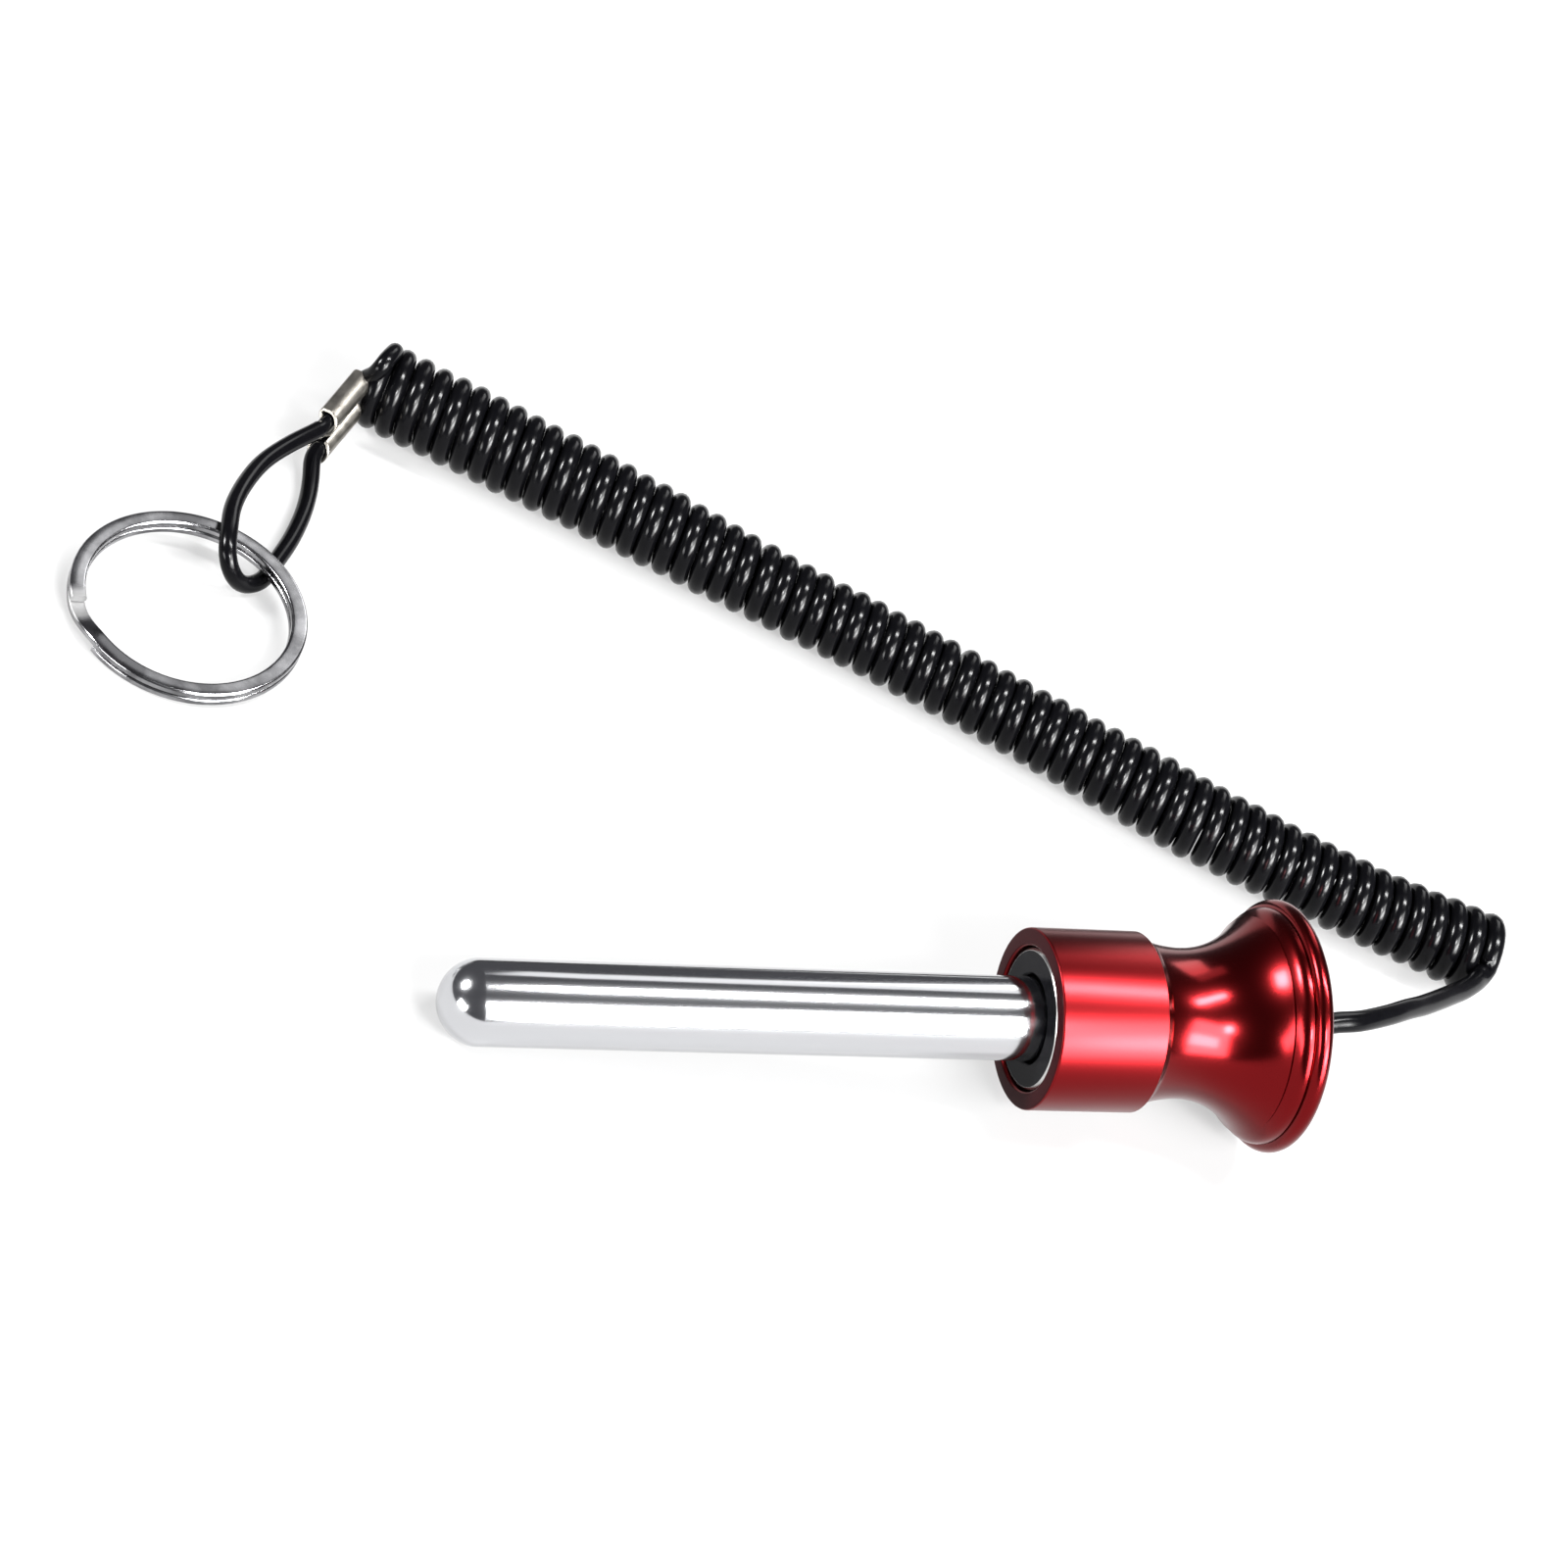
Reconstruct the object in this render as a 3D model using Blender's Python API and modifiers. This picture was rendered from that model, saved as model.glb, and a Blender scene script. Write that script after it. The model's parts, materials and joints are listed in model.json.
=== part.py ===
# Weight stack pin: steel bar, turned knob, magnet ring and a coiled cord that ends in a split ring.
# Everything lies as it comes to rest on a table. Metres, +Z up, +X along the pin from its nose to its knob.
import math

import bmesh
import bpy
from mathutils import Matrix, Vector

# Fits between neighbouring pieces
FIT = 0.0003

# Pin shaft: the crease is where the domed nose meets the bar
SHAFT_RADIUS = 0.0050
SHAFT_REACH = 0.0674
NOSE_HEIGHT = 0.0043
NOSE_STEPS = 8
SPIGOT_RADIUS = 0.0040
SPIGOT_LENGTH = 0.0160
SPIGOT_CHAMFER = 0.0005

# Magnet ring, let into the front of the collar
MAGNET_RADIUS = 0.00835
MAGNET_THICKNESS = 0.0037
MAGNET_SINK = 0.00025
MAGNET_CHAMFER = 0.0002

# Knob, measured back from the front face of its collar
COLLAR_RADIUS = 0.01075
COLLAR_LENGTH = 0.0134
COLLAR_EDGE = 0.0003
COLLAR_STEP = 0.0009
WAIST_RADIUS = 0.0090
WAIST_AT = 0.0195
FLARE_RADIUS = 0.0131
FLARE_AT = 0.0285
BEAD_RADIUS = 0.0144
BEAD_WIDTH = 0.0020
BEAD_SWELL = 0.00035
GROOVE_DEPTH = 0.00018
RIM_RADIUS = 0.0152
RIM_WIDTH = 0.0024
RIM_ROUND = 0.0011
TURN_STEPS = 40
FRONT_WAIST_STEPS = 5
BACK_WAIST_STEPS = 10
BEAD_STEPS = 6
RIM_STEPS = 4

# Cord, drawn thinner where it makes the loop, and the stop that holds it inside the knob
CORD_RADIUS = 0.00125
LOOP_CORD_RADIUS = 0.0011
EXIT_RUN = 0.0038
STOP_WALL = 0.0014
STOP_LENGTH = 0.0060
STOP_TURN_STEPS = 24
CORD_STEP = 0.0026
COIL_STEP = 0.0054
CORD_SIDES = 2
COIL_SIDES = 8

# Crimp ferrule: a strip rolled round the two runs of cord
FERRULE_LENGTH = 0.0081
FERRULE_SKEW = 0.0020
FERRULE_WALL = 0.00035
BARREL_BORE_RADIUS = 0.00115
BARREL_SPACING = 0.0032
CURL_RADIUS = 0.0005
CURL_SET = 0.0006
CURL_OPENING = math.radians(40)
CURL_STEPS = 9
BARREL_CREASE = math.radians(15)
UPPER_BARREL_STEPS = 12
LOWER_BARREL_TURN = math.radians(320)
LOWER_BARREL_STEPS = 22

# Split ring: two turns of flat wire
RING_RADIUS = 0.0145
WIRE_WIDTH = 0.0020
WIRE_THICKNESS = 0.00095
WIRE_EDGE = 0.0003
LAYER_GAP = 0.0001
JOG_ANGLE = math.radians(28)
JOG_AT = math.radians(180)
RING_STEPS = 56
RING_CLEARANCE = 0.00045

# Where the loop holds the ring, from the cord's exit in plan, and the side of the ring that it holds
HOLD_ALONG = -0.11729
HOLD_ACROSS = 0.07172
HOLD_ANGLE = math.radians(55)

# Shares that a route is read in between two of its points, and the distance at which corners count as one
ROUTE_SHARES = 24
SAME_POINT = 0.00001
MARK_SIZE = 0.01

# Routes of the cord: along and across from the cord's exit in plan, and height above the table
LEAD_ROUTE = [
    (0.0080, 0.0007, 0.0162),
    (0.0117, 0.0014, 0.0162),
    (0.0170, 0.0036, 0.0156),
    (0.0223, 0.0063, 0.0146),
    (0.0278, 0.0093, 0.0134),
    (0.0317, 0.0116, 0.0124),
    (0.0358, 0.0147, 0.0113),
    (0.0393, 0.0180, 0.0104),
    (0.0418, 0.0210, 0.0098),
    (0.0437, 0.0240, 0.0094),
    (0.0448, 0.0267, 0.0092),
    (0.0444, 0.0287, 0.0091),
    (0.0430, 0.0294, 0.0090),
]
# The coil's route has the coil's own radius in the place of a height, because the coil lies on the table
COIL_ROUTE = [
    (-0.0939, 0.1021, 0.0059),
    (-0.0781, 0.0938, 0.00585),
    (-0.0623, 0.0853, 0.0056),
    (-0.0454, 0.0761, 0.00515),
    (-0.0292, 0.0672, 0.00507),
    (-0.0131, 0.0573, 0.00512),
    (-0.0005, 0.0488, 0.00545),
    (0.0092, 0.0426, 0.00547),
    (0.0261, 0.0338, 0.0053),
    (0.0408, 0.0270, 0.00515),
]
TAIL_ROUTE = [
    (-0.0936, 0.1064, 0.0090),
    (-0.0950, 0.1053, 0.0089),
    (-0.0965, 0.1037, 0.0083),
]
LOOP_ROUTE = [
    (-0.1092, 0.0893, 0.0056),
    (-0.1134, 0.0848, 0.0060),
    (-0.1166, 0.0798, 0.0064),
    (-0.1190, 0.0746, 0.0069),
    (-0.1201, 0.0701, 0.00695),
    (-0.1204, 0.0672, 0.0060),
    (-0.1193, 0.0662, 0.0038),
    (-0.1171, 0.0668, 0.00155),
    (-0.1144, 0.0684, 0.00115),
    (-0.1121, 0.0721, 0.00115),
    (-0.1096, 0.0764, 0.00115),
    (-0.1072, 0.0817, 0.00115),
    (-0.1054, 0.0869, 0.00115),
    (-0.1043, 0.0910, 0.0013),
]
# Middle of the ferrule, the way it points towards the loop, and the way from its upper barrel to its lower
FERRULE_AT = (-0.10090, 0.09799, 0.00471)
FERRULE_AXIS = Vector((-0.579, -0.780, -0.238))
FERRULE_ACROSS = Vector((1.04, 0.15, -3.02))


def clear_scene():
    """Remove what a new file starts with."""
    for obj in list(bpy.data.objects):
        bpy.data.objects.remove(obj, do_unlink=True)


clear_scene()
pin_parts = bpy.data.collections.new("weight_stack_pin")
guides = bpy.data.collections.new("guides")
bpy.context.scene.collection.children.link(pin_parts)
bpy.context.scene.collection.children.link(guides)


def finish(name, colour, roughness, metallic):
    """A plain surface finish."""
    material = bpy.data.materials.new(name)
    material.use_nodes = True
    shader = material.node_tree.nodes["Principled BSDF"]
    shader.inputs["Base Color"].default_value = (*colour, 1.0)
    shader.inputs["Roughness"].default_value = roughness
    shader.inputs["Metallic"].default_value = metallic
    return material


def add_part(name, data, material):
    """Put a sub-part in the scene with its finish."""
    obj = bpy.data.objects.new(name, data)
    pin_parts.objects.link(obj)
    data.materials.append(material)
    return obj


def add_empty(name, place, turn):
    """A reference point that pieces are placed from."""
    empty = bpy.data.objects.new(name, None)
    empty.location = place
    empty.rotation_euler = turn
    empty.empty_display_size = MARK_SIZE
    pin_parts.objects.link(empty)
    return empty


def turned(name, profile, closed, steps, material):
    """A turned piece: a profile of (radius, height) that runs down its outer side, swept round local Z."""
    mesh = bpy.data.meshes.new(name)
    points = [(radius, 0.0, height) for radius, height in profile]
    edges = [(i, i + 1) for i in range(len(points) - 1)]
    if closed:
        edges.append((len(points) - 1, 0))
    mesh.from_pydata(points, edges, [])
    obj = add_part(name, mesh, material)
    screw = obj.modifiers.new("Turn", "SCREW")
    screw.axis = "Z"
    screw.angle = math.tau
    screw.steps = steps
    screw.render_steps = steps
    screw.use_merge_vertices = True
    screw.merge_threshold = SAME_POINT
    screw.use_smooth_shade = True
    return obj


def arc(centre_radius, centre_height, size, start, end, count):
    """Points of a round stretch of a profile, as (radius, height), with angles from the outward side."""
    points = []
    for i in range(count + 1):
        angle = start + (end - start) * i / count
        points.append((centre_radius + size * math.cos(angle), centre_height + size * math.sin(angle)))
    return points


def waist_arc(end_at, end_radius, count):
    """Points from the narrowest place of the waist to one end of it, along an arc that is level there."""
    run = abs(end_at - WAIST_AT)
    rise = end_radius - WAIST_RADIUS
    size = (run * run + rise * rise) / (2 * rise)
    sweep = math.asin(min(1.0, run / size))
    side = 1 if end_at > WAIST_AT else -1
    points = []
    for i in range(1, count + 1):
        angle = sweep * i / count
        radius = WAIST_RADIUS + size * (1 - math.cos(angle))
        points.append((radius, WAIST_AT + side * size * math.sin(angle)))
    return points


# Depths inside the knob, back from its collar's front face
MAGNET_FLOOR = MAGNET_SINK + MAGNET_THICKNESS + FIT
SPIGOT_END = MAGNET_FLOOR - FIT + SPIGOT_LENGTH
STOP_START = SPIGOT_END + 2 * FIT
STOP_END = STOP_START + STOP_LENGTH
POCKET_FLOOR = STOP_END + FIT
STOP_BORE = CORD_RADIUS + FIT
STOP_RADIUS = STOP_BORE + STOP_WALL
BEAD_END = FLARE_AT + BEAD_WIDTH
KNOB_LENGTH = BEAD_END + RIM_WIDTH


def knob_outside():
    """The knob's outer side as (radius, depth back from the collar's front face), from front to back."""
    points = [(COLLAR_RADIUS - COLLAR_EDGE, 0.0), (COLLAR_RADIUS, COLLAR_EDGE)]
    points.append((COLLAR_RADIUS, COLLAR_LENGTH))
    step_radius = COLLAR_RADIUS - COLLAR_STEP
    points.append((step_radius, COLLAR_LENGTH + COLLAR_STEP))
    front_waist = waist_arc(COLLAR_LENGTH + COLLAR_STEP, step_radius, FRONT_WAIST_STEPS)
    points.extend(reversed(front_waist[:-1]))
    points.append((WAIST_RADIUS, WAIST_AT))
    points.extend(waist_arc(FLARE_AT, FLARE_RADIUS, BACK_WAIST_STEPS))
    for i in range(BEAD_STEPS + 1):
        share = i / BEAD_STEPS
        radius = FLARE_RADIUS + (BEAD_RADIUS - FLARE_RADIUS) * share + BEAD_SWELL * math.sin(math.pi * share)
        points.append((radius - GROOVE_DEPTH, FLARE_AT + GROOVE_DEPTH + (BEAD_WIDTH - GROOVE_DEPTH) * share))
    front_round = arc(RIM_RADIUS - RIM_ROUND, 0.0, RIM_ROUND, math.pi / 2, 0.0, RIM_STEPS)
    points.extend((radius, BEAD_END + GROOVE_DEPTH + RIM_ROUND - height) for radius, height in front_round)
    back_round = arc(RIM_RADIUS - RIM_ROUND, 0.0, RIM_ROUND, 0.0, math.pi / 2, RIM_STEPS)
    points.extend((radius, KNOB_LENGTH - RIM_ROUND + height) for radius, height in back_round)
    return points


def nose_points():
    """The domed nose as (radius, height above the crease), from the crease to its tip."""
    size = (SHAFT_RADIUS**2 + NOSE_HEIGHT**2) / (2 * NOSE_HEIGHT)
    centre = size - NOSE_HEIGHT
    start = math.asin(centre / size)
    points = []
    for i in range(NOSE_STEPS + 1):
        angle = start + (math.pi / 2 - start) * i / NOSE_STEPS
        points.append((size * math.cos(angle), centre - size * math.sin(angle)))
    points[-1] = (0.0, -NOSE_HEIGHT)
    return points


# The pin rests on the crease of its nose and on the rim of its knob, so its axis rises towards the knob
REST_TILT = max(
    math.atan2(radius - SHAFT_RADIUS, SHAFT_REACH + depth) for radius, depth in knob_outside()
)
CREASE_HEIGHT = SHAFT_RADIUS * math.cos(REST_TILT)


def pin_ends():
    """The pin's reach along X, before and behind the middle of the nose's crease."""
    outline = nose_points()
    outline += [(radius, SHAFT_REACH + depth) for radius, depth in knob_outside()]
    low = min(height * math.cos(REST_TILT) - radius * math.sin(REST_TILT) for radius, height in outline)
    high = max(height * math.cos(REST_TILT) + radius * math.sin(REST_TILT) for radius, height in outline)
    return low, high


PIN_LOW, PIN_HIGH = pin_ends()
CREASE_AT = Vector((-(PIN_LOW + PIN_HIGH) / 2, 0.0, CREASE_HEIGHT))
PIN_AXIS = Vector((math.cos(REST_TILT), 0.0, math.sin(REST_TILT)))
CORD_EXIT = CREASE_AT + PIN_AXIS * (SHAFT_REACH + KNOB_LENGTH)

# Local Z of the pin runs from the nose to the knob, and local X points down at the table
pin_axis = add_empty("pin_axis", CREASE_AT, (0.0, math.pi / 2 - REST_TILT, 0.0))
collar_face = add_empty("collar_face", (0.0, 0.0, SHAFT_REACH), (0.0, 0.0, 0.0))
collar_face.parent = pin_axis


def make_shaft():
    """Ground steel bar with a domed nose and a reduced spigot that is pressed into the knob."""
    steel = finish("ground_steel", (0.62, 0.63, 0.65), 0.22, 1.0)
    shoulder = SHAFT_REACH + MAGNET_FLOOR - FIT
    top = SHAFT_REACH + SPIGOT_END
    profile = [(0.0, top), (SPIGOT_RADIUS - SPIGOT_CHAMFER, top), (SPIGOT_RADIUS, top - SPIGOT_CHAMFER)]
    profile += [(SPIGOT_RADIUS, shoulder), (SHAFT_RADIUS, shoulder), (SHAFT_RADIUS, 0.0)]
    profile += nose_points()[1:]
    shaft = turned("pin_shaft", profile, False, TURN_STEPS, steel)
    shaft.parent = pin_axis


def make_magnet():
    """Ring magnet that grips the front of the weight plate."""
    black = finish("magnet_black", (0.02, 0.02, 0.022), 0.18, 0.6)
    inner = SHAFT_RADIUS + FIT
    front = MAGNET_SINK
    back = MAGNET_SINK + MAGNET_THICKNESS
    bevel = MAGNET_CHAMFER
    profile = [(inner, back), (MAGNET_RADIUS - bevel, back), (MAGNET_RADIUS, back - bevel)]
    profile += [(MAGNET_RADIUS, front + bevel), (MAGNET_RADIUS - bevel, front), (inner, front)]
    magnet = turned("magnet_ring", profile, True, TURN_STEPS, black)
    magnet.parent = collar_face


def make_knob():
    """Turned aluminium knob: collar, waist, flare, bead and rim, with its bores and the cord's hole."""
    red = finish("red_anodised", (0.42, 0.012, 0.03), 0.28, 0.9)
    outside = list(reversed(knob_outside()))
    bore = SPIGOT_RADIUS + FIT
    recess = MAGNET_RADIUS + FIT
    pocket = STOP_RADIUS + FIT
    hole = CORD_RADIUS + FIT
    inside = [(recess, 0.0), (recess, MAGNET_FLOOR), (bore, MAGNET_FLOOR), (bore, SPIGOT_END + FIT)]
    inside += [(pocket, SPIGOT_END + FIT), (pocket, POCKET_FLOOR), (hole, POCKET_FLOOR), (hole, KNOB_LENGTH)]
    knob = turned("knob", outside + inside, True, TURN_STEPS, red)
    knob.parent = collar_face


def make_cord_stop():
    """Sleeve crimped on the cord's end, which the floor of the knob's pocket holds back."""
    zinc = finish("stop_zinc", (0.55, 0.55, 0.56), 0.4, 1.0)
    profile = [(STOP_BORE, STOP_END), (STOP_RADIUS, STOP_END)]
    profile += [(STOP_RADIUS, STOP_START), (STOP_BORE, STOP_START)]
    stop = turned("cord_stop", profile, True, STOP_TURN_STEPS, zinc)
    stop.parent = collar_face


def smooth_route(points, step):
    """Evenly spaced points of a smooth curve through the route's own points."""
    route = [Vector(point) for point in points]
    route = [route[0] * 2 - route[1]] + route + [route[-1] * 2 - route[-2]]
    fine = []
    for before, start, end, after in zip(route, route[1:], route[2:], route[3:]):
        for i in range(ROUTE_SHARES):
            t = i / ROUTE_SHARES
            slope = (end - before) * t + (2 * before - 5 * start + 4 * end - after) * t**2
            bend = (3 * start - before - 3 * end + after) * t**3
            fine.append(start + (slope + bend) / 2)
    fine.append(route[-2])
    run = [0.0]
    for near, far in zip(fine, fine[1:]):
        run.append(run[-1] + (far - near).length)
    count = max(2, round(run[-1] / step))
    spaced = []
    place = 0
    for i in range(count + 1):
        wanted = run[-1] * i / count
        while place < len(run) - 2 and run[place + 1] < wanted:
            place += 1
        share = (wanted - run[place]) / (run[place + 1] - run[place])
        spaced.append(fine[place].lerp(fine[place + 1], share))
    return spaced


def tube(name, points, radii, sides_setting, material):
    """A closed round tube along a run of points, with a radius at each of them."""
    curve = bpy.data.curves.new(name, "CURVE")
    curve.dimensions = "3D"
    curve.bevel_depth = max(radii)
    curve.bevel_resolution = sides_setting
    curve.use_fill_caps = True
    spline = curve.splines.new("POLY")
    spline.points.add(len(points) - 1)
    for spot, point, radius in zip(spline.points, points, radii):
        spot.co = (*point, 1.0)
        spot.radius = radius / curve.bevel_depth
    return add_part(name, curve, material)


def cord_run(name, route, radius, material):
    """A plain stretch of cord along a route."""
    points = smooth_route(route, CORD_STEP)
    return tube(name, points, [radius] * len(points), CORD_SIDES, material)


def from_exit(route):
    """Route points, along and across from the cord's exit and up from the table, as places in the scene."""
    return [(CORD_EXIT.x + along, CORD_EXIT.y + across, height) for along, across, height in route]


def ferrule_frame():
    """The ferrule's middle and its directions: across the barrels, out of the seam and along the cord."""
    along = FERRULE_AXIS.normalized()
    across = (FERRULE_ACROSS - along * FERRULE_ACROSS.dot(along)).normalized()
    return Vector(from_exit([FERRULE_AT])[0]), across, along.cross(across), along


def barrel_mouth(barrel, end, beyond):
    """A point in line with a barrel (-1 upper, 1 lower), beyond one of its ends (-1 coil, 1 loop)."""
    middle, across, _, along = ferrule_frame()
    shift = barrel * FERRULE_SKEW / 2 + end * (FERRULE_LENGTH / 2 + beyond)
    return middle + across * barrel * BARREL_SPACING / 2 + along * shift


def make_cord():
    """Plastic-covered cord: lead out of the knob, close-wound coil, tail into the crimp, and the loop."""
    black = finish("cord_black", (0.012, 0.012, 0.014), 0.35, 0.0)
    inner_end = CREASE_AT + PIN_AXIS * (SHAFT_REACH + STOP_START + FIT)
    lead = [inner_end, CORD_EXIT, CORD_EXIT + PIN_AXIS * EXIT_RUN]
    lead += from_exit(LEAD_ROUTE)
    cord_run("cord_lead", lead, CORD_RADIUS, black)
    coil = smooth_route(from_exit(COIL_ROUTE), COIL_STEP)
    tube("cord_coil", coil, [point.z for point in coil], COIL_SIDES, black)
    barrel_radius = BARREL_BORE_RADIUS + FERRULE_WALL
    face_slope = FERRULE_SKEW / BARREL_SPACING
    near = FIT + face_slope * barrel_radius
    tail = from_exit(TAIL_ROUTE) + [barrel_mouth(-1, -1, near + CORD_RADIUS / 2), barrel_mouth(-1, -1, near)]
    cord_run("cord_tail", tail, CORD_RADIUS, black)
    loop = [barrel_mouth(-1, 1, near), barrel_mouth(-1, 1, near + LOOP_CORD_RADIUS)]
    loop += from_exit(LOOP_ROUTE)
    loop += [barrel_mouth(1, 1, near + LOOP_CORD_RADIUS), barrel_mouth(1, 1, near)]
    cord_run("cord_loop", loop, LOOP_CORD_RADIUS, black)


def strip_outline(path, thickness):
    """Both faces of a bent strip, as one closed outline round its middle line."""
    left = []
    right = []
    for i, point in enumerate(path):
        before = path[max(i - 1, 0)]
        after = path[min(i + 1, len(path) - 1)]
        along = (Vector(after) - Vector(before)).normalized()
        side = Vector((-along.y, along.x)) * thickness / 2
        left.append(Vector(point) + side)
        right.append(Vector(point) - side)
    return left + right[::-1]


def ferrule_path():
    """Middle line of the rolled strip: a curl, then over the upper cord and round the lower one."""
    middle = BARREL_BORE_RADIUS + FERRULE_WALL / 2
    half = BARREL_SPACING / 2
    curl_centre = -half - middle + CURL_RADIUS
    path = arc(curl_centre, -CURL_SET, CURL_RADIUS, CURL_OPENING, -math.pi, CURL_STEPS)
    path += arc(-half, 0.0, middle, math.pi, BARREL_CREASE, UPPER_BARREL_STEPS)
    lower_start = math.pi + BARREL_CREASE
    path += arc(half, 0.0, middle, lower_start, lower_start + LOWER_BARREL_TURN, LOWER_BARREL_STEPS)
    return path


def make_ferrule():
    """Crimp ferrule: one strip of nickel-plated steel rolled round both runs of cord, with skewed ends."""
    nickel = finish("nickel_plate", (0.55, 0.52, 0.48), 0.3, 1.0)
    outline = strip_outline(ferrule_path(), FERRULE_WALL)
    curve = bpy.data.curves.new("ferrule_section", "CURVE")
    curve.dimensions = "2D"
    curve.fill_mode = "BOTH"
    curve.extrude = FERRULE_LENGTH / 2
    spline = curve.splines.new("POLY")
    spline.points.add(len(outline) - 1)
    for spot, point in zip(spline.points, outline):
        spot.co = (point.x, point.y, 0.0, 1.0)
    spline.use_cyclic_u = True
    section = bpy.data.objects.new("ferrule_section", curve)
    guides.objects.link(section)
    bpy.context.view_layer.update()
    graph = bpy.context.evaluated_depsgraph_get()
    mesh = bpy.data.meshes.new_from_object(section.evaluated_get(graph))
    mesh.name = "ferrule"
    mesh.materials.clear()
    bpy.data.objects.remove(section)
    shaped = bmesh.new()
    shaped.from_mesh(mesh)
    bmesh.ops.remove_doubles(shaped, verts=shaped.verts, dist=SAME_POINT)
    for corner in shaped.verts:
        corner.co.z += corner.co.x * FERRULE_SKEW / BARREL_SPACING
    shaped.to_mesh(mesh)
    shaped.free()
    ferrule = add_part("ferrule", mesh, nickel)
    middle, across, facing, along = ferrule_frame()
    placing = Matrix((across, facing, along)).transposed().to_4x4()
    placing.translation = middle
    ferrule.matrix_world = placing


def make_split_ring():
    """Split ring: two turns of flat spring wire, and the jog where it passes from one layer to the other."""
    nickel = finish("ring_nickel", (0.72, 0.73, 0.75), 0.15, 1.0)
    mean_radius = RING_RADIUS - WIRE_WIDTH / 2
    stack = 2 * WIRE_THICKNESS + LAYER_GAP
    hold_height = 2 * LOOP_CORD_RADIUS + RING_CLEARANCE + stack / 2
    reach = mean_radius * 2 + WIRE_WIDTH / 2
    lean = math.asin(hold_height / math.hypot(reach, stack / 2)) - math.atan2(stack / 2, reach)
    hold = from_exit([(HOLD_ALONG, HOLD_ACROSS, hold_height)])[0]
    hinge = add_empty("ring_hold", hold, (0.0, lean, HOLD_ANGLE + math.pi))
    half_lift = (WIRE_THICKNESS + LAYER_GAP) / 2
    start = JOG_AT - (HOLD_ANGLE + math.pi) + JOG_ANGLE
    path = []
    turn_end = 2 * math.tau - JOG_ANGLE
    for i in range(2 * RING_STEPS + 1):
        angle = turn_end * i / (2 * RING_STEPS)
        ramp = min(1.0, max(0.0, (angle - (math.tau - JOG_ANGLE)) / JOG_ANGLE))
        lift = half_lift * (2 * (3 * ramp**2 - 2 * ramp**3) - 1)
        path.append((mean_radius * math.cos(start + angle), mean_radius * math.sin(start + angle), lift))
    section = bpy.data.curves.new("wire_section", "CURVE")
    section.dimensions = "2D"
    section.fill_mode = "NONE"
    outline = section.splines.new("POLY")
    wide = WIRE_WIDTH / 2
    thick = WIRE_THICKNESS / 2
    corners = [(wide, thick - WIRE_EDGE), (wide - WIRE_EDGE, thick)]
    corners += [(-x, y) for x, y in reversed(corners)]
    corners += [(-x, -y) for x, y in corners]
    outline.points.add(len(corners) - 1)
    for spot, (x, y) in zip(outline.points, reversed(corners)):
        spot.co = (x, y, 0.0, 1.0)
    outline.use_cyclic_u = True
    guide = bpy.data.objects.new("wire_section", section)
    guides.objects.link(guide)
    guide.hide_render = True
    guide.display_type = "WIRE"
    curve = bpy.data.curves.new("split_ring", "CURVE")
    curve.dimensions = "3D"
    curve.twist_mode = "Z_UP"
    curve.bevel_mode = "OBJECT"
    curve.bevel_object = guide
    curve.use_fill_caps = True
    spline = curve.splines.new("POLY")
    spline.points.add(len(path) - 1)
    for spot, point in zip(spline.points, path):
        spot.co = (*point, 1.0)
    ring = add_part("split_ring", curve, nickel)
    ring.location = (mean_radius, 0.0, 0.0)
    ring.parent = hinge


make_shaft()
make_magnet()
make_knob()
make_cord_stop()
make_cord()
make_ferrule()
make_split_ring()
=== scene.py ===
import json
import math

import bmesh
import bpy
from mathutils import Matrix, Quaternion, Vector


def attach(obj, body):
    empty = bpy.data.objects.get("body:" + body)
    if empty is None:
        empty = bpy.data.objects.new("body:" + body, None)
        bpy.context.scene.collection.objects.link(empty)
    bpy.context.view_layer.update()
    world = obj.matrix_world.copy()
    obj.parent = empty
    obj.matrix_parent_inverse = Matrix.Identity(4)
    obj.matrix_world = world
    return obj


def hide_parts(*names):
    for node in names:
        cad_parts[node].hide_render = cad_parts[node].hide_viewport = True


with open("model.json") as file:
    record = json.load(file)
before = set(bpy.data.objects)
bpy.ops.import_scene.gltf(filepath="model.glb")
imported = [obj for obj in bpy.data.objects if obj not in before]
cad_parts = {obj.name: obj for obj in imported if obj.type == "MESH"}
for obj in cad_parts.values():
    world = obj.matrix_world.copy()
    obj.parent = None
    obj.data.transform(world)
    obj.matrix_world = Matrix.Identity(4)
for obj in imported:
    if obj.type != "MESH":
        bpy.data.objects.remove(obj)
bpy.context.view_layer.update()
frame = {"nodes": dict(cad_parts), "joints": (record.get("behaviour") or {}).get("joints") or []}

# The view: from the front left and well above the table, through a long lens, with the picture's top leaned
# over to the left so that the pin lies almost level in it.
camera_at = Vector((-0.2208, -0.3035, 0.3408))
looks_at = Vector((0.0026, 0.0461, 0.0))
lean = math.radians(29.4)
camera_data = bpy.data.cameras.new("camera")
camera_data.lens = 99.0
camera_data.sensor_width = 36.0
camera = bpy.data.objects.new("camera", camera_data)
bpy.context.scene.collection.objects.link(camera)
camera.location = camera_at
aim = (looks_at - camera_at).to_track_quat("-Z", "Y")
camera.rotation_euler = (aim @ Quaternion((0, 0, 1), lean)).to_euler()
bpy.context.scene.camera = camera
bpy.context.scene.view_settings.view_transform = "Standard"


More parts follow.
